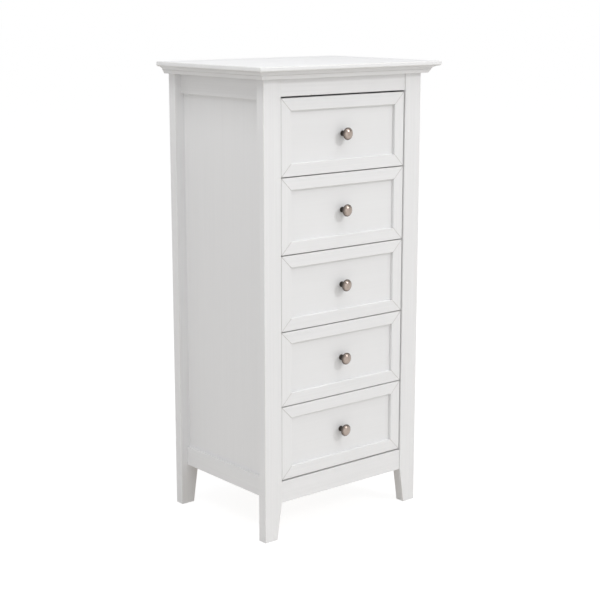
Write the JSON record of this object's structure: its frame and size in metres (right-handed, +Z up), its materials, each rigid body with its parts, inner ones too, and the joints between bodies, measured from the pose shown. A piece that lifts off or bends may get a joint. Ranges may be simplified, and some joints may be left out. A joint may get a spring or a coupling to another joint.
{
  "type": "tall chest of drawers",
  "caption": "Tall narrow white-painted chest of drawers on tapered square feet, with a coved top, mitred inset drawer fronts and round pewter knobs.",
  "frame": {"origin": "on the floor, under the middle of the top board", "axes": "+Z up, drawers open towards -Y, +X to the right seen from the front"},
  "size_m": [0.574, 0.417, 1.15],
  "materials": {
    "white_paint": "satin white paint over fine-grained wood",
    "natural_wood": "clear-sealed pale wood",
    "pewter": "antique pewter, satin metal",
    "screw_steel": "zinc-plated steel"
  },
  "bodies": {
    "case": {"top_board": "white_paint", "cornice_front": "white_paint", "cornice_left": "white_paint", "cornice_right": "white_paint", "post_front_left": "white_paint", "post_front_right": "white_paint", "post_rear_left": "white_paint", "post_rear_right": "white_paint", "front_top_rail": "white_paint", "front_bottom_rail": "white_paint", "rear_top_rail": "white_paint", "rear_bottom_rail": "white_paint", "side_top_rail_left": "white_paint", "side_top_rail_right": "white_paint", "side_bottom_rail_left": "white_paint", "side_bottom_rail_right": "white_paint", "side_panel_left": "white_paint", "side_panel_right": "white_paint", "back_panel": "white_paint", "bearers_left": "natural_wood", "bearers_right": "natural_wood", "runners_left": "natural_wood", "runners_right": "natural_wood", "case_dowels": "natural_wood", "case_screws": "screw_steel"},
    "drawer_1": {"drawer_1_frame": "white_paint", "drawer_1_panel": "white_paint", "drawer_1_sides": "natural_wood", "drawer_1_back": "natural_wood", "drawer_1_bottom": "natural_wood", "drawer_1_knob": "pewter", "drawer_1_knob_screw": "screw_steel"},
    "drawer_2": {"drawer_2_frame": "white_paint", "drawer_2_panel": "white_paint", "drawer_2_sides": "natural_wood", "drawer_2_back": "natural_wood", "drawer_2_bottom": "natural_wood", "drawer_2_knob": "pewter", "drawer_2_knob_screw": "screw_steel"},
    "drawer_3": {"drawer_3_frame": "white_paint", "drawer_3_panel": "white_paint", "drawer_3_sides": "natural_wood", "drawer_3_back": "natural_wood", "drawer_3_bottom": "natural_wood", "drawer_3_knob": "pewter", "drawer_3_knob_screw": "screw_steel"},
    "drawer_4": {"drawer_4_frame": "white_paint", "drawer_4_panel": "white_paint", "drawer_4_sides": "natural_wood", "drawer_4_back": "natural_wood", "drawer_4_bottom": "natural_wood", "drawer_4_knob": "pewter", "drawer_4_knob_screw": "screw_steel"},
    "drawer_5": {"drawer_5_frame": "white_paint", "drawer_5_panel": "white_paint", "drawer_5_sides": "natural_wood", "drawer_5_back": "natural_wood", "drawer_5_bottom": "natural_wood", "drawer_5_knob": "pewter", "drawer_5_knob_screw": "screw_steel"}
  },
  "joints": [
    {"name": "drawer_1_slide", "type": "slide", "parent": "case", "child": "drawer_1", "axis": [0, -1, 0], "range_m": [0, 0.25]},
    {"name": "drawer_2_slide", "type": "slide", "parent": "case", "child": "drawer_2", "axis": [0, -1, 0], "range_m": [0, 0.25]},
    {"name": "drawer_3_slide", "type": "slide", "parent": "case", "child": "drawer_3", "axis": [0, -1, 0], "range_m": [0, 0.25]},
    {"name": "drawer_4_slide", "type": "slide", "parent": "case", "child": "drawer_4", "axis": [0, -1, 0], "range_m": [0, 0.25]},
    {"name": "drawer_5_slide", "type": "slide", "parent": "case", "child": "drawer_5", "axis": [0, -1, 0], "range_m": [0, 0.25]}
  ]
}
